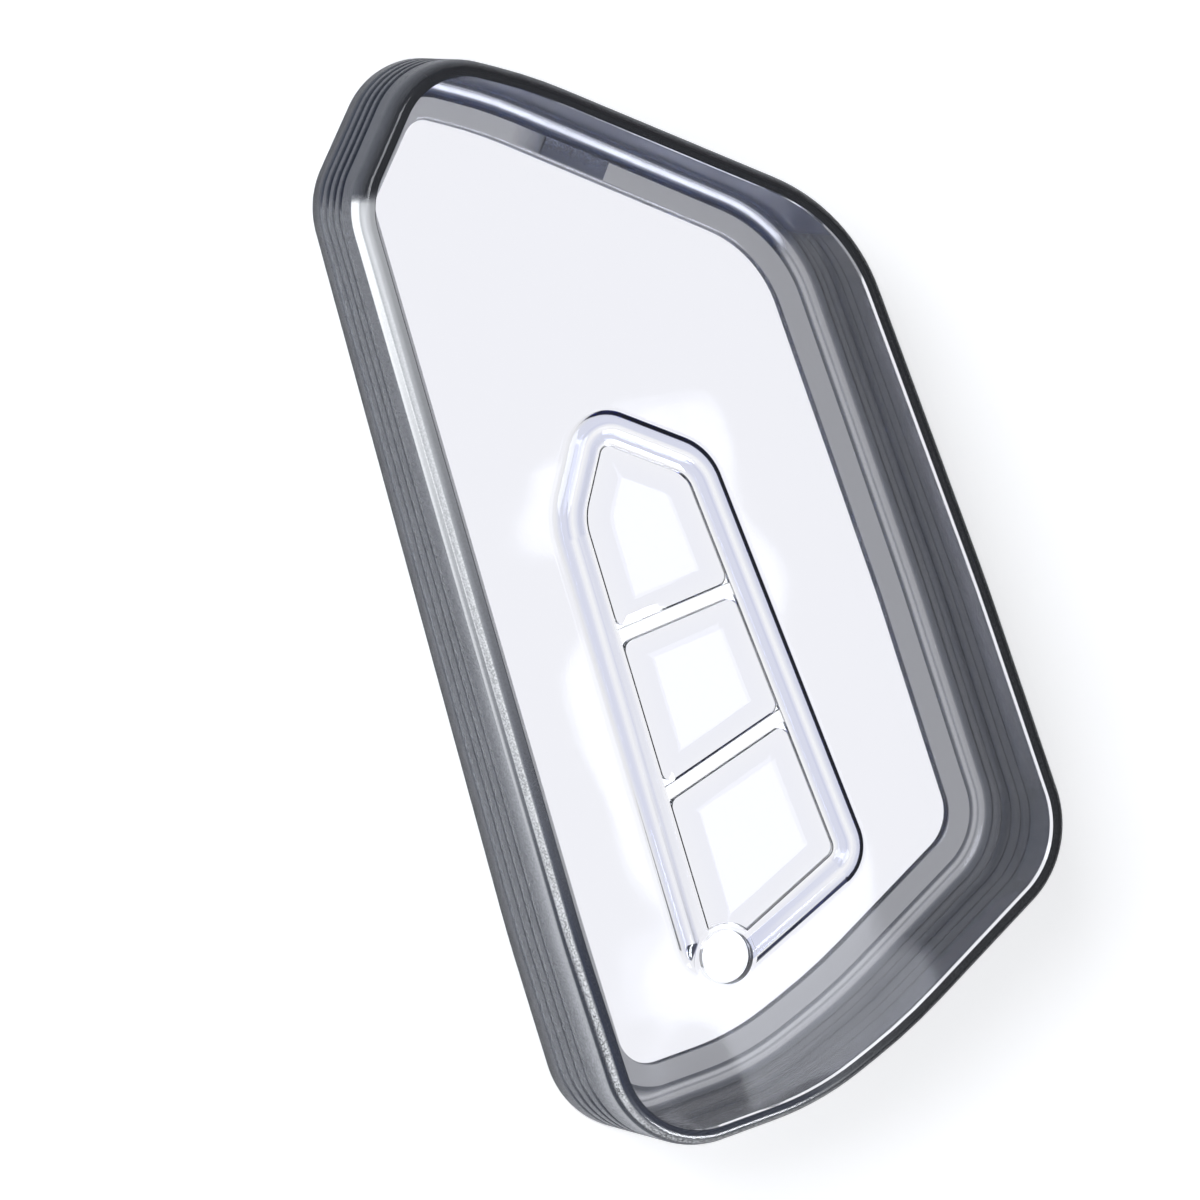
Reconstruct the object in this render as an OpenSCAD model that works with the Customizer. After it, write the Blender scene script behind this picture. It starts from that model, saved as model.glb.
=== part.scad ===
// Key fob cover: a smoke-grey side frame with a flange round its open back, and a clear front panel whose
// button area is framed by a raised flexible loop with three press pads inside it.
// It lies on its flange with the buttons up. Its long axis runs along Y, its width along X, and its origin is
// at the middle of its outline, on the surface that it lies on. The front slopes, because the cover is
// deeper at its bottom end.

/* [Body] */
// Length, from the top corner to the bottom edge
body_length = 86.4; // [82:0.2:92]
// Width at the widest place
body_width = 43; // [41:0.2:47]
// Depth at the top end
top_depth = 10.8; // [10:0.1:13]
// Depth at the bottom end
bottom_depth = 15.4; // [14:0.1:18]
// Thickness of the side wall
wall = 1.3; // [1.1:0.05:1.6]
// Width of the rounding at the front rim
rim_radius = 0.9; // [0.5:0.05:1]
// Height of that rounding, down the outer face
rim_height = 2; // [1.2:0.1:2.4]
// Radius of the outer edge at the back
back_radius = 0.5; // [0.3:0.05:0.7]

/* [Back flange] */
// Thickness of the flange round the back opening
flange_thickness = 1; // [0.8:0.05:1.3]
// Width of the flange, from the wall's outer face to the back opening
flange_width = 4.8; // [4:0.1:5.4]
// Width of the flange at the lower end of the long left side, which it reaches by widening downwards
left_flange_width = 5.9; // [5:0.1:6.4]
// Width of the thicker lip beside the opening
lip_width = 1.8; // [1:0.1:2.2]
// Height of the lip above the rest of the flange
lip_rise = 0.3; // [0.1:0.05:0.5]
// Radius of the opening's edges
lip_radius = 0.3; // [0.2:0.05:0.35]
// Radius of the inner corner between the wall and the flange, as far as the lip leaves room for it
inner_radius = 1.2; // [0.6:0.05:1.3]
// Length of the retaining tab on the lip at the top
tab_length = 5.6; // [4:0.1:7]
// Height of the retaining tab above the lip
tab_rise = 0.3; // [0.2:0.05:0.6]

/* [Grip grooves] */
// Width of one groove in the outer wall
groove_width = 0.9; // [0.6:0.05:1]
// Depth of one groove
groove_depth = 0.25; // [0.1:0.05:0.4]

/* [Front panel] */
// Thickness of the clear front panel
panel_thickness = 1; // [0.9:0.05:1.2]
// Radius of the through hole
hole_radius = 2.1; // [1.6:0.05:2.4]
// Width of the flat land round the hole
land_width = 0.5; // [0.4:0.05:0.7]

/* [Press surround] */
// Width of the raised loop, from foot to foot
loop_width = 2.7; // [2.2:0.1:3]
// Height of the loop above the panel
loop_rise = 0.7; // [0.4:0.05:0.9]
// Thickness of the flexible skin of the loop
skin = 0.6; // [0.5:0.05:0.75]
// Width of a web between two press pads
web_width = 1; // [0.8:0.05:1.4]
// Thickness of a web
web_thickness = 0.4; // [0.3:0.05:0.45]

/* [Press pads] */
// Thickness of a press pad at its edge
pad_thickness = 0.9; // [0.7:0.05:1]
// Height of a pad's crown above its edge
pad_crown = 0.35; // [0.2:0.05:0.5]
// Running gap between a pad and what surrounds it
pad_gap = 0.1; // [0.08:0.01:0.15]
// Radius of a pad's corners beside a web
pad_corner = 0.8; // [0.6:0.05:1.2]

/* [Hidden] */

// How far a cut runs past what it cuts
overrun = 1;
// How far one feature reaches into the one that it grows from
bond = 0.1;
// Largest turn of one facet of a rounded corner, in degrees
arc_step = 7;
// Facets round the hole and its land
round_facets = 72;
// Steps round the front rim and the inner corner, and round the smaller edges
rim_steps = 4;
edge_steps = 2;
// Steps across the raised loop
loop_steps = 8;
// Steps from a pad's edge to its flat top
crown_steps = 4;

// Corners of the outline, anticlockwise from the bottom left, as shares of the width and the length
corner_shares = [
    [-0.499, -0.495], [-0.129, -0.499], [0.08, -0.4675], [0.498, -0.37], [0.492, -0.108],
    [0.463, 0.2535], [-0.034, 0.462], [-0.227, 0.522], [-0.441, 0.411], [-0.4965, -0.284]
];
// Radii of those corners, as shares of the width
corner_radius_shares = [0.174, 0.58, 1.16, 0.198, 3.5, 0.349, 0.93, 0.151, 0.163, 2.8];
// The corners beside which the flange is wider, each with its share of the extra width
wider_corner_shares = [1, 0, 0, 0, 0, 0, 0, 0, 0, 1];
// Middles of the four grooves up the wall, as shares of the depth
groove_shares = [0.21, 0.345, 0.48, 0.61];
// Flat floor of a groove, as a share of its width
groove_floor_share = 0.4;
// Corners of the loop's crest, anticlockwise from the bottom left, as shares of the width and the length
loop_shares = [[-0.271, -0.361], [0.0756, -0.2965], [0.029, 0.088], [-0.144, 0.158], [-0.2455, 0.08]];
// Radii of those corners, as shares of the width
loop_radius_shares = [0.058, 0.056, 0.088, 0.05, 0.14];
// Middle of the hole, as shares of the width and the length
hole_shares = [-0.2175, -0.3405];
// Left and right ends of the two webs, as shares of the length
lower_web_shares = [-0.1875, -0.1505];
upper_web_shares = [-0.036, -0.03];
// The side of the outline that carries the retaining tab, and the tab's place along it as a share
tab_side = 5;
tab_place_share = 0.7;
// The rounded part of a pad's top, at each edge, as a share of the loop's inner width
crown_share = 0.16;

corners = [for (s = corner_shares) [s[0] * body_width, s[1] * body_length]];
corner_radii = [for (s = corner_radius_shares) s * body_width];
loop_corners = [for (s = loop_shares) [s[0] * body_width, s[1] * body_length]];
loop_radii = [for (s = loop_radius_shares) s * body_width];
hole_centre = [hole_shares[0] * body_width, hole_shares[1] * body_length];
mid_depth = (top_depth + bottom_depth) / 2;
slope = (bottom_depth - top_depth) / body_length;
slant = atan(slope);
left_extra = left_flange_width - flange_width;
lip_thickness = flange_thickness + lip_rise;
inner_corner = min(inner_radius, flange_width - lip_width - lip_rise - wall);
loop_half = loop_width / 2;
land_radius = hole_radius + land_width;
pad_inset = loop_half + pad_gap;
pad_web_inset = web_width / 2 + pad_gap;
crown_inset = (loop_corners[1][0] - loop_corners[0][0] - loop_width) * crown_share;

// Plane geometry

function unit(v) = v / norm(v);
function left_of(d) = [-d[1], d[0]];
function meet(p, d, q, e) = p + d * (cross(q - p, e) / cross(d, e));
function before(i, n) = (i + n - 1) % n;
function after(i, n) = (i + 1) % n;
function directions(points) = [for (i = [0:len(points) - 1]) unit(points[after(i, len(points))] - points[i])];

// Facets of each rounded corner
function corner_steps(points) =
    let (n = len(points))
    let (dirs = directions(points))
    [for (i = [0:n - 1])
        let (h = before(i, n))
        ceil(atan2(cross(dirs[h], dirs[i]), dirs[h] * dirs[i]) / arc_step)];

// Points of one rounded corner whose tip is where sides of the directions d and e meet
function corner_arc(tip, d, e, radius, steps) =
    let (turn = atan2(cross(d, e), d * e))
    let (centre = tip + unit(left_of(d) + left_of(e)) * radius / cos(turn / 2))
    let (first = atan2(-d[0], d[1]))
    [for (k = [0:steps]) centre + radius * [cos(first + turn * k / steps), sin(first + turn * k / steps)]];

// Points of a rounded outline. Side i runs from corner i to the next one and is moved inwards by insets[i].
function outline(points, radii, insets, steps) =
    let (n = len(points))
    let (dirs = directions(points))
    let (feet = [for (i = [0:n - 1]) points[i] + left_of(dirs[i]) * insets[i]])
    [for (i = [0:n - 1])
        let (h = before(i, n))
        each corner_arc(meet(feet[h], dirs[h], feet[i], dirs[i]), dirs[h], dirs[i], radii[i], steps[i])];

// Radii of an outline's corners once its sides have moved inwards
function shrunk(radii, inset) = [for (r = radii) max(r - inset, pad_gap)];

// The cover's outline moved inwards by inset, and by more beside the wider corners
function body_outline(inset, more = 0) = outline(
    [for (i = [0:len(corners) - 1]) corners[i] + [wider_corner_shares[i] * more, 0]],
    shrunk(corner_radii, inset), [for (c = corners) inset], corner_steps(corners));

// The line of the loop's crest moved inwards by inset
function loop_outline(inset) =
    outline(loop_corners, shrunk(loop_radii, inset), [for (r = loop_radii) inset], corner_steps(loop_corners));

function depth_at(y) = mid_depth - slope * y;

// Solids made of rings of points

// Triangles between two rings of n points, which begin at the points numbered a and b
function band(a, b, n) = [for (i = [0:n - 1])
    let (k = after(i, n))
    each [[a + i, b + i, b + k], [a + i, b + k, a + k]]];

// A tube that closes on itself, such as a frame
module closed_loop(rings) {
    n = len(rings[0]);
    m = len(rings);
    polyhedron(
        points = [for (ring = rings) each ring],
        faces = [for (j = [0:m - 1]) each band(j * n, after(j, m) * n, n)],
        convexity = 8
    );
}

// A stack of rings, closed below and above with a fan round each end's middle
module capped_stack(rings) {
    n = len(rings[0]);
    m = len(rings);
    middles = [for (ring = [rings[0], rings[m - 1]]) [for (p = ring) 1] * ring / n];
    polyhedron(
        points = concat([for (ring = rings) each ring], middles),
        faces = concat(
            [for (j = [0:m - 2]) each band(j * n, (j + 1) * n, n)],
            [for (i = [0:n - 1]) [m * n, i, after(i, n)]],
            [for (i = [0:n - 1]) [m * n + 1, (m - 1) * n + after(i, n), (m - 1) * n + i]]
        ),
        convexity = 4
    );
}

// What is placed in the front plane's own frame, whose height zero is the panel's outer face
module on_front() {
    translate([0, 0, mid_depth]) rotate([-slant, 0, 0]) children();
}

// Side frame

// Points of the frame's section: inset, share of the flange's extra width, share of the depth, and rise
function groove_section(share) = [
    for (x = [-1, -groove_floor_share, groove_floor_share, 1])
        [abs(x) < 1 ? groove_depth : 0, 0, share, x * groove_width / 2]
];
function frame_section() = concat(
    [for (k = [0:edge_steps]) let (a = 90 * k / edge_steps)
        [back_radius * (1 - sin(a)), 0, 0, back_radius * (1 - cos(a))]],
    [for (share = groove_shares) each groove_section(share)],
    [for (k = [0:rim_steps]) let (a = 90 * k / rim_steps)
        [rim_radius * (1 - cos(a)), 0, 1, -rim_height * (1 - sin(a))]],
    [[wall, 0, 1, 0], [wall, 0, 1, -panel_thickness]],
    [for (k = [0:rim_steps]) let (a = 90 * k / rim_steps)
        [wall + inner_corner * (1 - cos(a)), 0, 0, flange_thickness + inner_corner * (1 - sin(a))]],
    [[flange_width - lip_width - lip_rise, 1, 0, flange_thickness], [flange_width - lip_width, 1, 0, lip_thickness]],
    [for (k = [0:edge_steps]) let (a = 90 * k / edge_steps)
        [flange_width - lip_radius * (1 - sin(a)), 1, 0, lip_thickness - lip_radius * (1 - cos(a))]],
    [for (k = [0:edge_steps]) let (a = 90 * k / edge_steps)
        [flange_width - lip_radius * (1 - cos(a)), 1, 0, lip_radius * (1 - sin(a))]]
);

module retaining_tab() {
    start = corners[tab_side];
    along = corners[tab_side + 1] - start;
    place = start + along * tab_place_share;
    translate([place[0], place[1], lip_thickness - tab_rise])
        rotate([0, 0, atan2(along[1], along[0])])
            translate([-tab_length / 2, flange_width - lip_width, 0])
                cube([tab_length, lip_width - lip_radius, 2 * tab_rise]);
}

module side_frame() {
    color([0.33, 0.34, 0.36]) {
        closed_loop([for (p = frame_section())
            [for (q = body_outline(p[0], p[1] * left_extra)) [q[0], q[1], p[2] * depth_at(q[1]) + p[3]]]]);
        retaining_tab();
    }
}

// Front panel

module hole_land(height) {
    translate([hole_centre[0], hole_centre[1], -height]) cylinder(r = land_radius, h = height, $fn = round_facets);
}

module front_panel() {
    color([0.86, 0.88, 0.93])
        difference() {
            union() {
                difference() {
                    intersection() {
                        linear_extrude(height = bottom_depth + overrun) polygon(body_outline(wall));
                        on_front() translate([-body_width, -body_length, -panel_thickness])
                            cube([2 * body_width, 2 * body_length, panel_thickness]);
                    }
                    on_front() translate([0, 0, -panel_thickness - overrun])
                        linear_extrude(height = panel_thickness + 2 * overrun) polygon(loop_outline(-loop_half));
                }
                on_front() hole_land(panel_thickness);
            }
            on_front() translate([hole_centre[0], hole_centre[1], -panel_thickness - overrun])
                cylinder(r = hole_radius, h = panel_thickness + 2 * overrun, $fn = round_facets);
        }
}

// Press surround

function crest_height(t) = loop_rise * (1 + cos(180 * t)) / 2;
function loop_section() =
    let (steps = [for (k = [0:loop_steps]) 2 * k / loop_steps - 1])
    concat(
        [for (t = steps) [t * loop_half, crest_height(t)]],
        [for (t = steps) [-t * loop_half, crest_height(t) - skin]]
    );

// Where a web meets the crest line of the left and the right side
function on_side(a, b, y) = a + (b - a) * (y - a[1]) / (b[1] - a[1]);
function web_ends(shares) = [
    on_side(loop_corners[4], loop_corners[0], shares[0] * body_length),
    on_side(loop_corners[1], loop_corners[2], shares[1] * body_length)
];
lower_web = web_ends(lower_web_shares);
upper_web = web_ends(upper_web_shares);

module web(ends) {
    dirs = directions(loop_corners);
    d = unit(ends[1] - ends[0]);
    half = left_of(d) * web_width / 2;
    inset = loop_half - bond;
    left_foot = ends[0] + left_of(dirs[4]) * inset;
    right_foot = ends[1] + left_of(dirs[1]) * inset;
    translate([0, 0, -skin]) linear_extrude(height = web_thickness) polygon([
        meet(ends[0] - half, d, left_foot, dirs[4]),
        meet(ends[0] - half, d, right_foot, dirs[1]),
        meet(ends[0] + half, d, right_foot, dirs[1]),
        meet(ends[0] + half, d, left_foot, dirs[4])
    ]);
}

module press_surround() {
    color([0.8, 0.82, 0.9])
        on_front() {
            difference() {
                closed_loop([for (p = loop_section()) [for (q = loop_outline(p[0])) [q[0], q[1], p[1]]]]);
                translate([0, 0, overrun]) hole_land(panel_thickness + 2 * overrun);
            }
            web(lower_web);
            web(upper_web);
        }
}

// Press pads

module press_pad(points, radii, insets) {
    color([0.9, 0.91, 0.97])
        on_front()
            capped_stack(concat(
                [[for (q = outline(points, radii, insets, corner_steps(points))) [q[0], q[1], -pad_thickness]]],
                [for (k = [0:crown_steps])
                    let (inset = crown_inset * k / crown_steps)
                    let (moved = [for (i = insets) i + inset])
                    [for (q = outline(points, shrunk(radii, inset), moved, corner_steps(points)))
                        [q[0], q[1], pad_crown * sin(90 * k / crown_steps)]]]
            ));
}

module upper_press_pad() {
    press_pad(
        [upper_web[0], upper_web[1], loop_corners[2], loop_corners[3], loop_corners[4]],
        concat([pad_corner, pad_corner], shrunk([for (i = [2:4]) loop_radii[i]], pad_inset)),
        [pad_web_inset, pad_inset, pad_inset, pad_inset, pad_inset]
    );
}

module middle_press_pad() {
    press_pad(
        [lower_web[0], lower_web[1], upper_web[1], upper_web[0]],
        [pad_corner, pad_corner, pad_corner, pad_corner],
        [pad_web_inset, pad_inset, pad_web_inset, pad_inset]
    );
}

module lower_press_pad() {
    difference() {
        press_pad(
            [loop_corners[0], loop_corners[1], lower_web[1], lower_web[0]],
            concat(shrunk([for (i = [0:1]) loop_radii[i]], pad_inset), [pad_corner, pad_corner]),
            [pad_inset, pad_inset, pad_web_inset, pad_inset]
        );
        on_front() translate([hole_centre[0], hole_centre[1], -pad_thickness - overrun])
            cylinder(r = land_radius + pad_gap, h = pad_thickness + pad_crown + 2 * overrun, $fn = round_facets);
    }
}

side_frame();
front_panel();
press_surround();
upper_press_pad();
middle_press_pad();
lower_press_pad();
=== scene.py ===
"""Key fob cover: builds the smoke side frame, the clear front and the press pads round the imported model."""

import math
from types import SimpleNamespace

import bmesh
import bpy
from bpy.props import FloatProperty, FloatVectorProperty, PointerProperty
from mathutils import Matrix, Vector
from mathutils.kdtree import KDTree


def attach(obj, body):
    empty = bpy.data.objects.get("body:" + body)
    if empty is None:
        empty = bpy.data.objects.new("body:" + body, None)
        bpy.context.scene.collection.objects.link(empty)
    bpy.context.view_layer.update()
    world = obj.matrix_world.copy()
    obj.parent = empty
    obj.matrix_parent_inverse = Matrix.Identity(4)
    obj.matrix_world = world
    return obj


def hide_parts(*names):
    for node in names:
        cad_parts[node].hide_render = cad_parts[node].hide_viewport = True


bl_info = {
    "name": "Key Fob Cover",
    "version": (1, 0, 0),
    "blender": (4, 5, 0),
    "location": "3D View > Sidebar > Cover",
    "description": "Smoke side frame, clear front and press pads of a soft key fob cover",
    "category": "Add Mesh",
}

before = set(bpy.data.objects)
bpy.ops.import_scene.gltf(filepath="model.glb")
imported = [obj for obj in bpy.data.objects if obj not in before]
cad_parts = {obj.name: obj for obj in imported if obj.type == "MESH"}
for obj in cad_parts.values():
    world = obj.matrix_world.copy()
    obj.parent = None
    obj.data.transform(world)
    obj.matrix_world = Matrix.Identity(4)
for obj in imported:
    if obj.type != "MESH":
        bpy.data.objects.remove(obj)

MM = 0.001
# Faces that meet at more than this angle, in radians, meet in a crease
CREASE = 0.6
# Angle of one step of the arcs, of the outline and the loop and of a pad
ARC_STEP = math.radians(3)
PAD_ARC_STEP = math.radians(5)
# Steps of a section from its middle to either side, of a groove and of the loop
GROOVE_STEPS = 5
LOOP_STEPS = 12
# Steps of the rise from a pad's edge to its crown
CROWN_STEPS = 10
# How near to the ends of a long run its support points lie
SUPPORT_MARGIN = 0.04

# Corners of the outline, anticlockwise from the bottom left, as shares of the width and the length
OUTLINE = [
    (-0.499, -0.495), (-0.129, -0.499), (0.08, -0.4675), (0.498, -0.37), (0.492, -0.108),
    (0.463, 0.2535), (-0.034, 0.462), (-0.227, 0.522), (-0.441, 0.411), (-0.4965, -0.284),
]
# Radii of those corners, as shares of the width
OUTLINE_RADII = [0.174, 0.58, 1.16, 0.198, 3.5, 0.349, 0.93, 0.151, 0.163, 2.8]
# The corners beside which the flange is wider
WIDER = [1, 0, 0, 0, 0, 0, 0, 0, 0, 1]
# Corners of the loop's crest and their radii, in the same way
LOOP = [(-0.271, -0.361), (0.0756, -0.2965), (0.029, 0.088), (-0.144, 0.158), (-0.2455, 0.08)]
LOOP_RADII = [0.058, 0.056, 0.088, 0.05, 0.14]
# Middle of the hole, and the left and right ends of the two webs
HOLE = (-0.2175, -0.3405)
LOWER_WEB = (-0.1875, -0.1505)
UPPER_WEB = (-0.036, -0.03)
# Middles of the four grooves up the wall, as shares of the depth
GROOVES = [0.21, 0.345, 0.48, 0.61]
# Where the tab's middle is, as a share of the top slope
TAB_SHARE = 0.7
# Bevel under a pad's edge and least radius of its corners
PAD_BEVEL = 0.08
PAD_LEAST_RADIUS = 0.05
# Share of the loop's inner width over which a pad rises, and width of the border that keeps its crown flat
CROWN_SHARE = 0.16
CROWN_BORDER = 0.05

# Directions towards the middle of the front, from the left side and from the top slope
FROM_LEFT = (0.8, 0.6)
FROM_TOP_SLOPE = (-0.64, -0.77)
# Looks of the smoke plastic's zones, most of them painted shade and painted highlights: how dark its tint,
# how strong, how speckled and how pale its haze
LOOK_CHANNELS = ("tint", "haze", "speckle", "tone")
ZONES = {
    "flange": (0, 0, 0, 0.2),
    # painted shade: the step up to the lip and the lip's edges are darker
    "step": (0.85, 0.4, 0, 0.01),
    "inside": (0.8, 0.1, 0, 0.08),
    # painted shade: the inner face of the top slope is darker
    "top slope": (0.9, 0.6, 0, 0.02),
    # painted highlight: a pale line along the foot of the top slope's inner fillet
    "foot": (0, 0.95, 0, 1),
    # painted shadow: a dark line beside that pale line
    "foot shadow line": (1, 0.9, 0, 0),
    "wall": (0.75, 0.45, 0.45, 0.13),
    # painted light: the left side, which faces the lamps, is paler
    "lit left wall": (0.75, 0.5, 0.6, 0.22),
    # painted shade: a dark line in each groove, and one below the lower left rim
    "groove": (1, 0.3, 0.2, 0.01),
    # painted highlight: pale lines beside the grooves of the left side
    "ridge highlight": (0, 1, 0.1, 1),
    "rim": (0.4, 0.14, 0.3, 0.17),
    # painted light: a paler band on the left wall below the rim
    "lit upper wall": (0.75, 0.75, 0.2, 0.45),
    # painted highlight: a white band on the left rim, speckled lower down
    "rim highlight": (0.5, 0.95, 0.05, 1),
    "speckled rim highlight": (0.5, 0.9, 0.7, 0.6),
    # painted light on the top of the left rim, and painted shade there lower down
    "edge": (0, 0.8, 0, 0.62),
    "low rim shade": (0, 0.6, 0.2, 0),
}
# Refractive index of both plastics
IOR = 1.5
WHITE = (1, 1, 1, 1)

# Softboxes: place, aim, width and height in metres, and brightness
SOFTBOXES = {
    "left strip": ((-0.46, -0.05, 0.085), (-0.02, 0, 0.01), 0.12, 0.5, 9),
    "upper softbox": ((-0.3, 0.35, 0.5), (0, 0, 0.01), 0.35, 0.35, 6),
    "streak softbox": ((0.1864, -0.0646, 0.5798), (-0.006, -0.014, 0.0135), 0.024, 0.083, 2),
}
# A bright card that only shows in reflections, in the same way
FRONT_CARD = ((0.0, -0.46, 0.46), (0, 0, 0.01), 0.46, 0.34, 32)
# Half the floor's side, and its distance below the cover, in millimetres
FLOOR_HALF = 1500
FLOOR_GAP = 0.05


def length(name, millimetres, description):
    return FloatProperty(
        name=name, default=millimetres * MM, unit="LENGTH", precision=5, description=description
    )


def amount(name, value, description):
    return FloatProperty(name=name, default=value, precision=3, description=description)


def colour(name, value, description):
    return FloatVectorProperty(
        name=name, default=value, subtype="COLOR", size=3, min=0, max=1, description=description
    )


class FrameSizes(bpy.types.PropertyGroup):
    """Sizes of the side frame."""

    body_length: length("Length", 86.4, "From the top corner to the bottom edge")
    body_width: length("Width", 43, "At the widest place")
    top_depth: length("Top depth", 10.8, "Depth at the top end")
    bottom_depth: length("Bottom depth", 15.4, "Depth at the bottom end")
    wall: length("Wall", 1.3, "Thickness of the side wall")
    rim_radius: length("Rim radius", 0.9, "Width of the rounding at the front rim")
    rim_height: length("Rim height", 2, "Height of that rounding, down the outer face")
    back_radius: length("Back radius", 0.5, "Radius of the outer edge at the back")
    flange_thickness: length("Flange thickness", 1, "Thickness of the flange round the back opening")
    flange_width: length("Flange width", 4.8, "From the wall's outer face to the back opening")
    left_flange_width: length("Left flange width", 5.9, "At the lower end of the long left side")
    lip_width: length("Lip width", 1.8, "Width of the thicker lip beside the opening")
    lip_rise: length("Lip rise", 0.3, "Height of the lip above the flange")
    lip_radius: length("Lip radius", 0.3, "Radius of the opening's edges")
    inner_radius: length("Inner radius", 1.2, "Radius between the wall and the flange")
    tab_length: length("Tab length", 5.6, "Length of the retaining tab on the lip")
    tab_rise: length("Tab rise", 0.3, "Height of the retaining tab above the lip")
    groove_width: length("Groove width", 0.9, "Width of one grip groove")
    groove_depth: length("Groove depth", 0.25, "Depth of one grip groove")


class FrontSizes(bpy.types.PropertyGroup):
    """Sizes of the clear front and its press pads."""

    panel_thickness: length("Panel thickness", 1, "Thickness of the clear front")
    hole_radius: length("Hole radius", 2.1, "Radius of the through hole")
    land_width: length("Land width", 0.5, "Width of the flat land round the hole")
    loop_width: length("Loop width", 2.7, "Width of the raised loop, from foot to foot")
    loop_rise: length("Loop rise", 0.7, "Height of the loop above the front")
    skin: length("Skin", 0.6, "Thickness of the loop's skin")
    web_width: length("Web width", 1, "Width of a web between two pads")
    web_thickness: length("Web thickness", 0.4, "Thickness of a web")
    pad_thickness: length("Pad thickness", 0.9, "Thickness of a pad at its edge")
    pad_crown: length("Pad crown", 0.35, "Height of a pad's crown above its edge")
    pad_gap: length("Pad gap", 0.1, "Running gap round a pad")
    pad_corner: length("Pad corner", 0.8, "Radius of a pad's corners beside a web")
    seat: length("Seat", 0.02, "Gap between the clear front and the frame's wall")


class PlasticLooks(bpy.types.PropertyGroup):
    """Colours of the two plastics, with the colours of their painted shade, painted highlights and painted
    reflection.
    """

    smoke: colour("Smoke", (0.465, 0.47, 0.485), "Colour that the smoke plastic lets through")
    smoke_density: amount("Smoke density", 1350, "How strongly the smoke plastic darkens, per metre")
    tint: colour("Tint", (0.07, 0.09, 0.13), "Colour of the smoke plastic where it is fully tinted")
    # The dark haze also paints shade, and the pale haze also paints highlights
    dark_haze_and_shade: colour("Dark haze", (0, 0.01, 0.05), "Colour of the smoke plastic's darkest haze")
    pale_haze_and_highlight: colour("Pale haze", (0.96, 0.96, 0.95), "Colour of the smoke plastic's palest haze")
    clear: colour("Clear", (0.8, 0.82, 0.96), "Colour that the clear plastic lets through")
    clear_density: amount("Clear density", 380, "How strongly the clear plastic darkens, per metre")
    # painted reflection: the loop's slopes are tinted lavender, which stands for a softbox's reflection
    slope: colour("Slope", (0.56, 0.59, 0.78), "Colour of the clear plastic on the loop's slopes")


def millimetres(group):
    return SimpleNamespace(**{name: getattr(group, name) / MM for name in group.__annotations__})


def sizes():
    """Sizes of the frame and of the front, in millimetres, in which the pieces are modelled."""
    scene = bpy.context.scene
    return millimetres(scene.cover_frame), millimetres(scene.cover_front)


# Outlines


def scaled(shares):
    """Places on the front, from shares of the width and the length."""
    size = sizes()[0]
    return [Vector((x * size.body_width, y * size.body_length)) for x, y in shares]


def radii_of(shares):
    return [share * sizes()[0].body_width for share in shares]


def left_of(d):
    return Vector((-d.y, d.x))


def meet(p, d, q, e):
    """Where the line through p along d crosses the line through q along e."""
    return p + d * ((q - p).cross(e) / d.cross(e))


def directions(corners):
    return [(b - a).normalized() for a, b in zip(corners, corners[1:] + corners[:1])]


def arc_counts(corners, step):
    """How many steps the arc of each corner takes."""
    dirs = directions(corners)
    turns = (math.atan2(d.cross(e), d.dot(e)) for d, e in zip(dirs[-1:] + dirs, dirs))
    return [max(2, math.ceil(turn / step)) for turn in turns]


def ring(corners, radii, insets, counts, height=lambda x, y: 0):
    """Points of a closed outline, whose corners are arcs that a vertex sweeps."""
    dirs = directions(corners)
    feet = [p + left_of(d) * inset for p, d, inset in zip(corners, dirs, insets)]
    bm = bmesh.new()
    for i in range(len(corners)):
        d, e = dirs[i - 1], dirs[i]
        turn = math.atan2(d.cross(e), d.dot(e))
        tip = meet(feet[i - 1], d, feet[i], e)
        centre = tip + (left_of(d) + left_of(e)).normalized() * radii[i] / math.cos(turn / 2)
        start = bm.verts.new((centre - left_of(d) * radii[i]).to_3d())
        bmesh.ops.spin(bm, geom=[start], cent=centre.to_3d(), axis=(0, 0, 1), angle=turn, steps=counts[i])
    points = [Vector((v.co.x, v.co.y, height(v.co.x, v.co.y))) for v in bm.verts]
    bm.free()
    return points


def first_ring(bm, points):
    """The edges of a new ring, whose vertices remember their numbers."""
    number = bm.verts.layers.int.get("number") or bm.verts.layers.int.new("number")
    verts = [bm.verts.new(p) for p in points]
    for k, v in enumerate(verts):
        v[number] = k
    return [bm.edges.new(pair) for pair in zip(verts, verts[1:] + verts[:1])]


def extruded(bm, edges, points):
    """Extrudes a ring of edges to the next ring's points, and returns the new edges."""
    number = bm.verts.layers.int["number"]
    made = bmesh.ops.extrude_edge_only(bm, edges=edges)["geom"]
    new = {g for g in made if isinstance(g, bmesh.types.BMVert)}
    for v in new:
        v.co = points[v[number]]
    return [g for g in made if isinstance(g, bmesh.types.BMEdge) and new.issuperset(g.verts)]


def swept(bm, rings):
    """Skins the rings one after another, and returns the first and the last ring's edges."""
    first = edges = first_ring(bm, rings[0])
    for points in rings[1:]:
        edges = extruded(bm, edges, points)
    return first, edges


def shrunk(radii, inset, least):
    return [max(r - inset, least) for r in radii]


def depth_at(y):
    """Depth of the sloping cover at a place along its length."""
    size = sizes()[0]
    slope = (size.bottom_depth - size.top_depth) / size.body_length
    return (size.top_depth + size.bottom_depth) / 2 - slope * y


def spread(steps):
    """Even places from -1 to 1, with as many steps to either side of the middle."""
    return [k / steps for k in range(-steps, steps + 1)]


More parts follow.
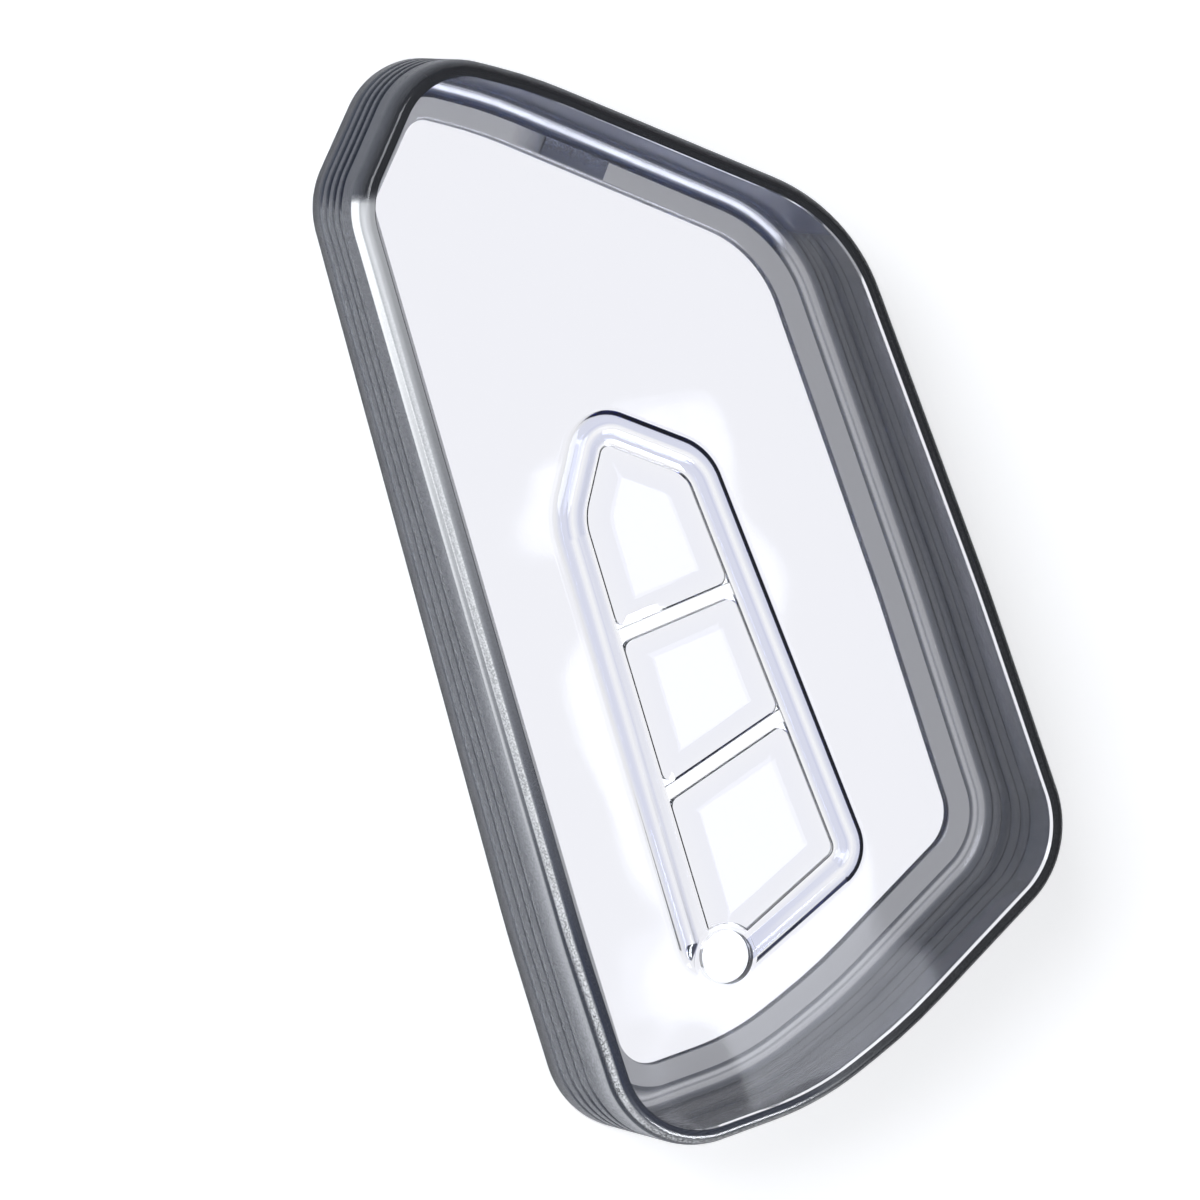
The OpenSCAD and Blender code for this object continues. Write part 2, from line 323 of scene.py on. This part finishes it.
def supported(section, margin):
    """The section with a support point near both ends of each long run, which keeps its shading flat."""
    out = []
    for a, b in zip(section, section[1:] + section[:1]):
        a, b = Vector(a), Vector(b)
        out.append(a)
        gap = math.hypot(b[0] - a[0], depth_at(0) * (b[2] - a[2]) + b[3] - a[3])
        if gap > 6 * margin:
            out += [a.lerp(b, margin / gap), a.lerp(b, 1 - margin / gap)]
    return out


def smooth(value, low, high):
    """0 at low and 1 at high, smoothly."""
    t = max(0.0, min(1.0, (value - low) / (high - low)))
    return t * t * (3 - 2 * t)


def band(value, low, full, fading, gone):
    """0 up to low, 1 from full to fading, and 0 again from gone, smoothly."""
    return smooth(value, low, full) * (1 - smooth(value, fading, gone))


def finish_mesh(bm, name):
    """Turns the bmesh into an object, still in millimetres, with outward normals and sharp creases."""
    bmesh.ops.remove_doubles(bm, verts=bm.verts, dist=0.0005)
    bmesh.ops.recalc_face_normals(bm, faces=bm.faces)
    for face in bm.faces:
        face.smooth = True
    for edge in bm.edges:
        edge.smooth = edge.calc_face_angle(0) < CREASE
    mesh = bpy.data.meshes.new(name)
    bm.to_mesh(mesh)
    bm.free()
    piece = bpy.data.objects.new(name, mesh)
    bpy.context.scene.collection.objects.link(piece)
    return piece


def combine(piece, tool, operation):
    """Joins or cuts the piece with the tool, which is used up."""
    cut = piece.modifiers.new("cut", "BOOLEAN")
    cut.operation, cut.object, cut.solver = operation, tool, "EXACT"
    graph = bpy.context.evaluated_depsgraph_get()
    made = bpy.data.meshes.new_from_object(piece.evaluated_get(graph))
    piece.modifiers.clear()
    piece.data = made
    made.name = piece.name
    made.set_sharp_from_angle(angle=CREASE)
    bpy.data.objects.remove(tool)


def cylinder(name, centre, radius, low, high):
    """An upright cylinder between two heights."""
    bm = bmesh.new()
    bmesh.ops.create_cone(
        bm, cap_ends=True, segments=96, radius1=radius, radius2=radius, depth=high - low,
        matrix=Matrix.Translation((centre.x, centre.y, (low + high) / 2)),
    )
    return finish_mesh(bm, name)


# Materials


class Wire:
    """A node socket that takes part in sums: each sum adds its Math node."""

    def __init__(self, tree, socket):
        self.tree, self.socket = tree, socket

    def maths(self, operation, *others):
        return add(self.tree, "ShaderNodeMath", {"operation": operation}, dict(enumerate((self, *others))))

    def __add__(self, other):
        return self.maths("ADD", other)

    __radd__ = __add__

    def __rsub__(self, other):
        return self * -1 + other

    def __mul__(self, other):
        return self.maths("MULTIPLY", other)

    __rmul__ = __mul__

    def ramp(self, low, high):
        """0 at low and 1 at high, smoothly."""
        return add(
            self.tree, "ShaderNodeMapRange", {"interpolation_type": "SMOOTHSTEP"},
            {"Value": self, "From Min": low, "From Max": high},
        )


def add(tree, kind, settings=None, inputs=None, output=0):
    """One node: its settings first, then the values or links of its sockets."""
    node = tree.nodes.new(kind)
    for name, value in (settings or {}).items():
        setattr(node, name, value)
    for name, value in (inputs or {}).items():
        if isinstance(value, Wire):
            tree.links.new(value.socket, node.inputs[name])
        else:
            node.inputs[name].default_value = value
    return Wire(tree, node.outputs[output])


def mixed(tree, factor, first, second):
    """The second colour over the first."""
    return add(
        tree, "ShaderNodeMix", {"data_type": "RGBA"}, {"Factor": factor, 6: first, 7: second}, output=2
    )


def new_material(name):
    material = bpy.data.materials.new(name)
    material.use_nodes = True
    material.node_tree.nodes.clear()
    return material, material.node_tree


def smoke_plastic():
    """Smoke plastic: glossy with a fine grain, and hazy as far as its zones say; its hazy layer also carries
    the zones' painted shade and painted highlights.
    """
    look = bpy.context.scene.cover_finish
    material, tree = new_material("smoke plastic")
    place = add(tree, "ShaderNodeTexCoord", output=3)
    grain = noise(tree, place, 4200, 3)
    cloud = noise(tree, place, 260, 2)
    fine = noise(tree, place, 6000, 2).ramp(0.35, 0.65)
    bumped = add(tree, "ShaderNodeBump", inputs={"Height": grain, "Strength": 0.2, "Distance": 0.00002})
    tint, haze, speckle, tone = (vertex_value(tree, name) for name in LOOK_CHANNELS)
    plastic = add(tree, "ShaderNodeBsdfPrincipled", inputs={
        "Base Color": mixed(tree, tint, WHITE, (*look.tint, 1)),
        "Roughness": 0.04 + 0.06 * grain + 0.06 * cloud + 0.05 * tint,
        "IOR": IOR, "Transmission Weight": 1.0, "Normal": bumped,
    })
    # Rough layer: dark where the zones paint shade, pale where they paint highlights
    matt = add(tree, "ShaderNodeBsdfPrincipled", inputs={
        "Base Color": mixed(tree, tone, (*look.dark_haze_and_shade, 1), (*look.pale_haze_and_highlight, 1)),
        "Roughness": 0.4, "IOR": IOR, "Normal": bumped,
    })
    shown = haze * (1 - speckle * (1 - fine) * (0.5 + cloud))
    surface = add(tree, "ShaderNodeMixShader", inputs={0: shown, 1: plastic, 2: matt})
    add_output(tree, surface, absorbed(tree, look.smoke, look.smoke_density))
    return material


def clear_plastic():
    """Clear plastic: polished, with the faint waves of a soft moulding, a breath of lavender, and a painted
    lavender reflection on the loop's slopes.
    """
    look = bpy.context.scene.cover_finish
    material, tree = new_material("clear plastic")
    place = add(tree, "ShaderNodeTexCoord", output=3)
    waves = noise(tree, place, 55, 1)
    bumped = add(tree, "ShaderNodeBump", inputs={"Height": waves, "Strength": 0.35, "Distance": 0.0004})
    haze = noise(tree, place, 900, 3)
    surface = add(tree, "ShaderNodeBsdfPrincipled", inputs={
        # painted reflection on the loop's slopes
        "Base Color": mixed(tree, vertex_value(tree, "slope"), WHITE, (*look.slope, 1)),
        "Roughness": 0.01 + 0.03 * haze, "IOR": IOR, "Transmission Weight": 1.0, "Normal": bumped,
    })
    add_output(tree, surface, absorbed(tree, look.clear, look.clear_density))
    return material


def noise(tree, place, scale, detail):
    return add(tree, "ShaderNodeTexNoise", inputs={"Vector": place, "Scale": scale, "Detail": detail})


def vertex_value(tree, name):
    """A value that each vertex of the piece carries."""
    return add(tree, "ShaderNodeAttribute", {"attribute_name": name}, output=2)


def absorbed(tree, shade, density):
    """What the plastic takes from the light that goes through it."""
    return add(tree, "ShaderNodeVolumeAbsorption", inputs={"Color": (*shade, 1), "Density": density})


def add_output(tree, surface, volume=None):
    node = tree.nodes.new("ShaderNodeOutputMaterial")
    tree.links.new(surface.socket, node.inputs["Surface"])
    if volume:
        tree.links.new(volume.socket, node.inputs["Volume"])


def material_of(name):
    makers = {"smoke plastic": smoke_plastic, "clear plastic": clear_plastic}
    return bpy.data.materials.get(name) or makers[name]()


def hand_over(piece, body, slot, material, *nodes):
    """Gives the piece its material and its body, and hides the nodes that it stands for; the slot is not
    used.
    """
    piece.data.transform(Matrix.Scale(MM, 4))
    piece.data.materials.clear()
    piece.data.materials.append(material_of(material))
    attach(piece, body)
    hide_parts(*nodes)


# Pieces


def arc(steps):
    """Angles of a quarter turn."""
    return [math.pi / 2 * k / steps for k in range(steps + 1)]


def frame_section(size):
    """Inset, share of the flange's extra width, share of the depth, and rise of each point."""
    lip_top = size.flange_thickness + size.lip_rise
    opening = size.flange_width
    points = [
        (size.back_radius * (1 - math.sin(a)), 0, 0, size.back_radius * (1 - math.cos(a))) for a in arc(6)
    ]
    for share in GROOVES:
        points += [
            (size.groove_depth * (1 + math.cos(math.pi * t)) / 2, 0, share, t * size.groove_width / 2)
            for t in spread(GROOVE_STEPS)
        ]
    points += [
        (size.rim_radius * (1 - math.cos(a)), 0, 1, -size.rim_height * (1 - math.sin(a))) for a in arc(12)
    ]
    points += [(size.wall, 0, 1, 0), (size.wall, 0, 1, -1)]
    points += [
        (size.wall + size.inner_radius * (1 - math.cos(a)), 0, 0,
         size.flange_thickness + size.inner_radius * (1 - math.sin(a))) for a in arc(12)
    ]
    points += [
        (opening - size.lip_width - size.lip_rise, 1, 0, size.flange_thickness),
        (opening - size.lip_width, 1, 0, lip_top),
    ]
    points += [
        (opening - size.lip_radius * (1 - math.sin(a)), 1, 0, lip_top - size.lip_radius * (1 - math.cos(a)))
        for a in arc(4)
    ]
    points += [
        (opening - size.lip_radius * (1 - math.cos(a)), 1, 0, size.lip_radius * (1 - math.sin(a)))
        for a in arc(4)
    ]
    return points


class COVER_OT_side_frame(bpy.types.Operator):
    """Smoke side frame with its grooves, flange, lip and retaining tab"""

    bl_idname = "cover.side_frame"
    bl_label = "Side Frame"

    def execute(self, context):
        size = sizes()[0]
        corners, radii = scaled(OUTLINE), radii_of(OUTLINE_RADII)
        counts = arc_counts(corners, ARC_STEP)
        extra = size.left_flange_width - size.flange_width
        section, rings = supported(frame_section(size), SUPPORT_MARGIN), []
        for inset, more, share, rise in section:
            moved = [p + Vector((w * more * extra, 0)) for p, w in zip(corners, WIDER)]
            rings.append(ring(
                moved, shrunk(radii, inset, size.lip_radius), [inset] * len(corners), counts,
                lambda x, y: share * depth_at(y) + rise,
            ))
        bm = bmesh.new()
        swept(bm, rings + rings[:1])
        piece = finish_mesh(bm, "smoke_frame")
        combine(piece, self.tab(size, corners), "UNION")
        self.mark(size, corners, section, rings, piece.data)
        hand_over(piece, "cover", "smoke", "smoke plastic", "side_frame")
        return {"FINISHED"}

    def mark(self, size, corners, section, rings, mesh):
        """Gives each vertex its look, in which the zones, painted shade and painted highlights among them,
        lie one over another.
        """
        sides = [(corner, left_of(d)) for corner, d in zip(corners, directions(corners))]
        nearby = KDTree(sum(map(len, rings)))
        for k, points in enumerate(rings):
            for p in points:
                nearby.insert(p, k)
        nearby.balance()
        vertex_looks = []
        for v in mesh.vertices:
            # The nearest sides count most in the direction towards the middle
            pulls = (n / (0.5 + abs((v.co.to_2d() - p).dot(n))) ** 4 for p, n in sides)
            inward = sum(pulls, Vector((0, 0))).normalized()
            inset = section[nearby.find(v.co)[1]][0]
            look = ZONES["flange"]
            for share, name in self.layers(size, v.co, v.normal, inward, inset):
                look = [a + (b - a) * share for a, b in zip(look, ZONES[name])]
            vertex_looks.append(look)
        for name, values in zip(LOOK_CHANNELS, zip(*vertex_looks)):
            mesh.attributes.new(name, "FLOAT", "POINT").data.foreach_set("value", values)

    def layers(self, size, place, normal, inward, inset):
        """How far each zone covers a vertex, from the lowest layer to the uppermost."""
        flat = normal.to_2d()
        above_lip = place.z > size.flange_thickness + size.lip_rise + 0.05
        left = smooth(inward.dot(FROM_LEFT), 0.25, 0.55)
        slope = smooth(inward.dot(FROM_TOP_SLOPE), 0.7, 0.9)
        if flat.length > 0.3 and flat.dot(inward) > 0:
            if above_lip:
                # painted shade on the inner face of the top slope
                layers = [(smooth(flat.length, 0.3, 0.8), "inside"), (slope, "top slope")]
            else:
                # painted shade on the inward faces below the lip's top
                layers = [(smooth(flat.length, 0.7, 0.9), "step")]
        elif above_lip:
            layers = self.wall_layers(place, left)
        else:
            # painted shade on the step up to the lip
            layers = [(smooth(flat.length, 0.2, 0.3) if normal.z > 0.2 else 0, "step")]
        # On the top slope, a painted highlight line at the inner fillet's foot, and a painted shadow line
        # beside it
        if size.flange_thickness - 0.01 < place.z < size.flange_thickness + size.inner_radius:
            foot, lip = size.wall + size.inner_radius, size.flange_width - size.lip_width
            layers += [
                (slope * band(inset, foot - 0.7, foot - 0.55, foot - 0.25, foot - 0.1), "foot"),
                (slope * band(inset, foot - 0.25, foot - 0.1, lip - 0.05, lip + 0.05), "foot shadow line"),
            ]
        return layers

    def wall_layers(self, place, left):
        """The zones of the outer wall and the front rim, among them the painted highlights and painted shade
        of the left side and the painted shade in the grooves.
        """
        depth = depth_at(place.y)
        under, upper = depth - place.z, smooth(place.y, -30, 10)
        low_left = left * (1 - upper)
        # How far below the front the painted white highlight band of the left rim starts and ends, which is
        # more on the upper part
        start, end = 0.2 + 0.5 * upper, 0.8 + 1.2 * upper
        off = min((place.z - share * depth for share in GROOVES), key=abs)
        return [
            (1, "wall"),
            (left, "lit left wall"),
            # painted shade in the grooves
            (1 - smooth(abs(off), 0.2, 0.42), "groove"),
            # painted highlight lines beside the left side's grooves
            (left * band(off, 0.08, 0.2, 0.42, 0.48), "ridge highlight"),
            (1 - smooth(under, 0.3, 1), "rim"),
            # painted light on the left wall's plain band below the rim
            (left * smooth(place.z / depth, 0.65, 0.68) * (1 - smooth(end - under, -0.2, 0)), "lit upper wall"),
            # painted shade: a dark line below the lower left rim
            (low_left * band(under, 0.8, 0.95, 1.3, 1.6), "groove"),
            (left * band(under, start - 0.1, start + 0.1, end - 0.2, end), "rim highlight"),
            (low_left * band(under, start - 0.1, start, end - 0.2, end), "speckled rim highlight"),
            # painted light on the top of the left rim, with painted shade on its lower part
            (left * (1 - smooth(under, start - 0.15, start)), "edge"),
            (low_left * (1 - smooth(under, start - 0.15, start)), "low rim shade"),
        ]

    def tab(self, size, corners):
        """Small raised bar on the lip of the top slope."""
        start, along = corners[5], corners[6] - corners[5]
        inner = size.lip_width - size.lip_radius
        top = size.flange_thickness + size.lip_rise + size.tab_rise
        bm = bmesh.new()
        bmesh.ops.create_cube(bm, size=1)
        bmesh.ops.scale(bm, vec=(size.tab_length, inner, 2 * size.tab_rise), verts=bm.verts)
        bmesh.ops.translate(
            bm, vec=(0, size.flange_width - size.lip_width + inner / 2, top - size.tab_rise), verts=bm.verts
        )
        turn = Matrix.Rotation(math.atan2(along.y, along.x), 4, "Z")
        middle = (start + along * TAB_SHARE).to_3d()
        bmesh.ops.transform(bm, matrix=Matrix.Translation(middle) @ turn, verts=bm.verts)
        return finish_mesh(bm, "tab_tool")


def crest(t):
    """Height of the loop, from its outer foot at -1 over its crest at 0 to its inner foot at 1."""
    return sizes()[1].loop_rise * (1 + math.cos(math.pi * max(-1, min(1, t)))) / 2


class COVER_OT_clear_front(bpy.types.Operator):
    """Clear front with its raised loop, the webs between the pads, and the hole"""

    bl_idname = "cover.clear_front"
    bl_label = "Clear Front"

    def execute(self, context):
        size, front = sizes()
        body, loop = scaled(OUTLINE), scaled(LOOP)
        loop_radii = radii_of(LOOP_RADII)
        hole = scaled([HOLE])[0]
        land = front.hole_radius + front.land_width
        thick = front.panel_thickness
        inset = size.wall + front.seat
        counts, loop_counts = arc_counts(body, ARC_STEP), arc_counts(loop, ARC_STEP)
        outer = [body, shrunk(radii_of(OUTLINE_RADII), inset, inset), [inset] * len(body), counts]

        def loop_ring(t, under):
            """One ring of the loop's upper or lower face, which fades towards the hole."""
            def height(x, y):
                fade = smooth(math.hypot(x - hole.x, y - hole.y) / land, 0.95, 1.4)
                if not under:
                    return crest(t) * fade
                return fade * (crest(t) + (thick - front.skin) * smooth(t, -1, -0.5)) - thick

            inset = t * front.loop_width / 2
            radii = shrunk(loop_radii, inset, front.pad_gap)
            return ring(loop, radii, [inset] * len(loop), loop_counts, height)

        # Two rings lie just outside the loop's foot and keep the shading of the panel flat
        steps = [-1.15, -1.1] + spread(LOOP_STEPS)
        strip = [loop_ring(t, False) for t in steps]
        strip += [loop_ring(t, True) for t in reversed(steps) if t != -1]
        bm = bmesh.new()
        above, below = swept(bm, strip)
        top, bottom = swept(bm, [ring(*outer, lambda x, y: 0), ring(*outer, lambda x, y: -thick)])
        for pair in (top + above, bottom + below):
            bmesh.ops.triangle_fill(bm, use_beauty=True, edges=pair, normal=(0, 0, 1))
        piece = finish_mesh(bm, "clear_front")
        combine(piece, cylinder("land_tool", hole, land, -thick, 0), "UNION")
        for shares in (LOWER_WEB, UPPER_WEB):
            combine(piece, self.web(front, loop, shares), "UNION")
        combine(piece, cylinder("hole_tool", hole, front.hole_radius, -2 * thick, thick), "DIFFERENCE")
        paint_slope_reflection(piece.data)
        slant(piece)
        hand_over(piece, "cover", "clear", "clear plastic", "front_panel", "press_surround")
        return {"FINISHED"}

    def web(self, front, loop, shares):
        """A thin bar from one side of the loop to the other."""
        left, right = web_ends(loop, shares)
        along = (right - left).normalized()
        reach = front.loop_width / 2 - front.pad_gap
        dirs = directions(loop)
        a = meet(left, along, left + left_of(dirs[4]) * reach, dirs[4])
        b = meet(left, along, right + left_of(dirs[1]) * reach, dirs[1])
        bm = bmesh.new()
        bmesh.ops.create_cube(bm, size=1)
        bmesh.ops.scale(bm, vec=((b - a).length, front.web_width, front.web_thickness), verts=bm.verts)
        middle = ((a + b) / 2).to_3d()
        middle.z = front.web_thickness / 2 - front.skin
        turn = Matrix.Rotation(math.atan2(along.y, along.x), 4, "Z")
        bmesh.ops.transform(bm, matrix=Matrix.Translation(middle) @ turn, verts=bm.verts)
        return finish_mesh(bm, "web_tool")


def paint_slope_reflection(mesh):
    """Marks the loop's slopes, which get a painted lavender reflection."""
    slopes = [smooth(v.normal.to_2d().length, 0.2, 0.6) * (v.co.z > 0.02) for v in mesh.vertices]
    mesh.attributes.new("slope", "FLOAT", "POINT").data.foreach_set("value", slopes)


def slant(piece):
    """Lays a flat piece on the sloping front."""
    middle = depth_at(0)
    lift = (0, depth_at(1) - middle, 1, middle)
    piece.data.transform(Matrix(((1, 0, 0, 0), (0, 1, 0, 0), lift, (0, 0, 0, 1))))


def web_ends(loop, shares):
    """Where a web meets the crest line of the left and of the right side."""
    size = sizes()[0]
    ends = []
    for (a, b), share in zip(((loop[4], loop[0]), (loop[1], loop[2])), shares):
        ends.append(a.lerp(b, (share * size.body_length - a.y) / (b.y - a.y)))
    return ends


def pad(name, body, node, points, radii, insets, notch=None):
    """One press pad: a plate with a bevel underneath and a crown on top."""
    front = sizes()[1]
    loop = scaled(LOOP)
    rise_width = (loop[1].x - loop[0].x - front.loop_width) * CROWN_SHARE
    counts = arc_counts(points, PAD_ARC_STEP)
    profile = [(PAD_BEVEL, -front.pad_thickness), (0, PAD_BEVEL - front.pad_thickness), (0, 0)]
    profile += [
        (rise_width * k / CROWN_STEPS, front.pad_crown * math.sin(math.pi / 2 * k / CROWN_STEPS))
        for k in range(1, CROWN_STEPS + 1)
    ]
    profile.append((rise_width + CROWN_BORDER, front.pad_crown))
    rings = []
    for inset, height in profile:
        rounded = shrunk(radii, inset, PAD_LEAST_RADIUS)
        rings.append(ring(points, rounded, [i + inset for i in insets], counts, lambda x, y: height))
    bm = bmesh.new()
    for edges in swept(bm, rings):
        bmesh.ops.triangle_fill(bm, use_beauty=True, edges=edges, normal=(0, 0, 1))
    piece = finish_mesh(bm, name)
    if notch:
        combine(piece, notch, "DIFFERENCE")
    slant(piece)
    hand_over(piece, body, "clear", "clear plastic", node)


class COVER_OT_press_pads(bpy.types.Operator):
    """Three clear press pads inside the raised loop"""

    bl_idname = "cover.press_pads"
    bl_label = "Press Pads"

    def execute(self, context):
        front = sizes()[1]
        loop, radii = scaled(LOOP), radii_of(LOOP_RADII)
        lower, upper = web_ends(loop, LOWER_WEB), web_ends(loop, UPPER_WEB)
        side = front.loop_width / 2 + front.pad_gap
        end = front.web_width / 2 + front.pad_gap
        near = [front.pad_corner] * 2
        land = front.hole_radius + front.land_width + front.pad_gap
        notch = cylinder("notch_tool", scaled([HOLE])[0], land, -2, 2)
        pad("upper_pad_dome", "upper_pad", "upper_press_pad", [*upper, loop[2], loop[3], loop[4]],
            near + shrunk(radii[2:], side, 0), [end, side, side, side, side])
        pad("middle_pad_dome", "middle_pad", "middle_press_pad", [*lower, upper[1], upper[0]],
            near * 2, [end, side, end, side])
        pad("lower_pad_dome", "lower_pad", "lower_press_pad", [loop[0], loop[1], lower[1], lower[0]],
            shrunk(radii[:2], side, 0) + near, [side, side, end, side], notch)
        return {"FINISHED"}


class COVER_OT_stage(bpy.types.Operator):
    """Floor, lamps, surrounding light and camera"""

    bl_idname = "cover.stage"
    bl_label = "Stage"

    def execute(self, context):
        self.camera(context.scene)
        self.floor()
        self.world(context.scene)
        for name, softbox in SOFTBOXES.items():
            self.lamp(name, *softbox)
        self.lamp("front card", *FRONT_CARD).visible_diffuse = False
        return {"FINISHED"}

    def camera(self, scene):
        """A long lens that looks down from the upper left, rolled by 17.3 degrees."""
        back = Vector((-0.3173, 0.1668, 0.9335)).normalized()
        level, rise = Vector((0.9468, 0, 0.3218)), Vector((0.0537, 0.9860, -0.1579))
        roll = math.radians(17.3)
        right = (level * math.cos(roll) - rise * math.sin(roll)).normalized()
        up = back.cross(right)
        middle, shift_left, shift_down = Vector((0.45, -0.28, 13.1)) * MM, 9.49, 3.09
        aim = middle - right * shift_left * MM - up * shift_down * MM
        distance, shown_width = 0.9, 93.02 * MM
        data = bpy.data.cameras.new("camera")
        data.lens = data.sensor_width * distance / shown_width
        data.clip_start, data.clip_end = 0.01, 10
        camera = bpy.data.objects.new("camera", data)
        turn = Matrix((right, up, back)).transposed().to_4x4()
        camera.matrix_world = Matrix.Translation(aim + back * distance) @ turn
        scene.collection.objects.link(camera)
        scene.camera = camera

    def floor(self):
        """A pale floor that keeps the shadow, and shows white to the camera and through the plastic."""
        bm = bmesh.new()
        bmesh.ops.create_grid(bm, x_segments=1, y_segments=1, size=FLOOR_HALF)
        bmesh.ops.translate(bm, vec=(0, 0, -FLOOR_GAP), verts=bm.verts)
        floor = finish_mesh(bm, "floor")
        floor.data.transform(Matrix.Scale(MM, 4))
        material, tree = new_material("floor")
        matt = add(tree, "ShaderNodeBsdfDiffuse", inputs={"Color": (0.8, 0.8, 0.81, 1)})
        direct = add(tree, "ShaderNodeLightPath", output="Is Camera Ray")
        through = add(tree, "ShaderNodeLightPath", output="Is Transmission Ray")
        glow = add(tree, "ShaderNodeEmission", inputs={"Color": WHITE, "Strength": 1.0})
        dark = add(tree, "ShaderNodeEmission", inputs={"Color": (0, 0, 0, 1), "Strength": 0.0})
        lift = add(tree, "ShaderNodeMixShader", inputs={0: 0.6 * direct, 1: dark, 2: glow})
        lit = add(tree, "ShaderNodeAddShader", inputs={0: matt, 1: lift})
        add_output(tree, add(tree, "ShaderNodeMixShader", inputs={0: through, 1: lit, 2: glow}))
        floor.data.materials.append(material)

    def world(self, scene):
        """Soft light from all round, which looks white to the camera."""
        world = bpy.data.worlds.new("studio")
        world.use_nodes = True
        tree = world.node_tree
        tree.nodes.clear()
        light = add(tree, "ShaderNodeBackground", inputs={"Color": (0.93, 0.95, 1, 1), "Strength": 0.3})
        white = add(tree, "ShaderNodeBackground", inputs={"Color": WHITE, "Strength": 1.0})
        direct = add(tree, "ShaderNodeLightPath", output="Is Camera Ray")
        shown = add(tree, "ShaderNodeMixShader", inputs={0: direct, 1: light, 2: white})
        node = tree.nodes.new("ShaderNodeOutputWorld")
        tree.links.new(shown.socket, node.inputs["Surface"])
        scene.world = world

    def lamp(self, name, place, aim, wide, high, brightness):
        """A softbox of the given size in metres, whose high side runs along Y."""
        data = bpy.data.lights.new(name, "AREA")
        data.shape, data.size, data.size_y = "RECTANGLE", wide, high
        data.energy, data.color = brightness * math.pi * wide * high, (0.93, 0.96, 1)
        back = (Vector(place) - Vector(aim)).normalized()
        right = Vector((0, 1, 0)).cross(back).normalized()
        lamp = bpy.data.objects.new(name, data)
        turn = Matrix((right, back.cross(right), back)).transposed().to_4x4()
        lamp.matrix_world = Matrix.Translation(place) @ turn
        bpy.context.scene.collection.objects.link(lamp)
        return lamp


class COVER_PT_panel(bpy.types.Panel):
    """Lists the makers of the cover's pieces"""

    bl_label = "Key Fob Cover"
    bl_space_type = "VIEW_3D"
    bl_region_type = "UI"
    bl_category = "Cover"

    def draw(self, context):
        for operator in MAKERS:
            self.layout.operator(operator.bl_idname)
        for group in (context.scene.cover_frame, context.scene.cover_front, context.scene.cover_finish):
            for name in group.__annotations__:
                self.layout.prop(group, name)


MAKERS = (COVER_OT_stage, COVER_OT_side_frame, COVER_OT_clear_front, COVER_OT_press_pads)
CLASSES = (FrameSizes, FrontSizes, PlasticLooks, *MAKERS, COVER_PT_panel)
GROUPS = {"cover_frame": FrameSizes, "cover_front": FrontSizes, "cover_finish": PlasticLooks}


def register():
    for item in CLASSES:
        bpy.utils.register_class(item)
    for name, group in GROUPS.items():
        setattr(bpy.types.Scene, name, PointerProperty(type=group))


def unregister():
    for name in GROUPS:
        delattr(bpy.types.Scene, name)
    for item in reversed(CLASSES):
        bpy.utils.unregister_class(item)


def main():
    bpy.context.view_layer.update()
    register()
    bpy.context.scene.view_settings.view_transform = "Standard"
    bpy.ops.cover.stage()
    bpy.ops.cover.side_frame()
    bpy.ops.cover.clear_front()
    bpy.ops.cover.press_pads()


if __name__ == "__main__":
    main()
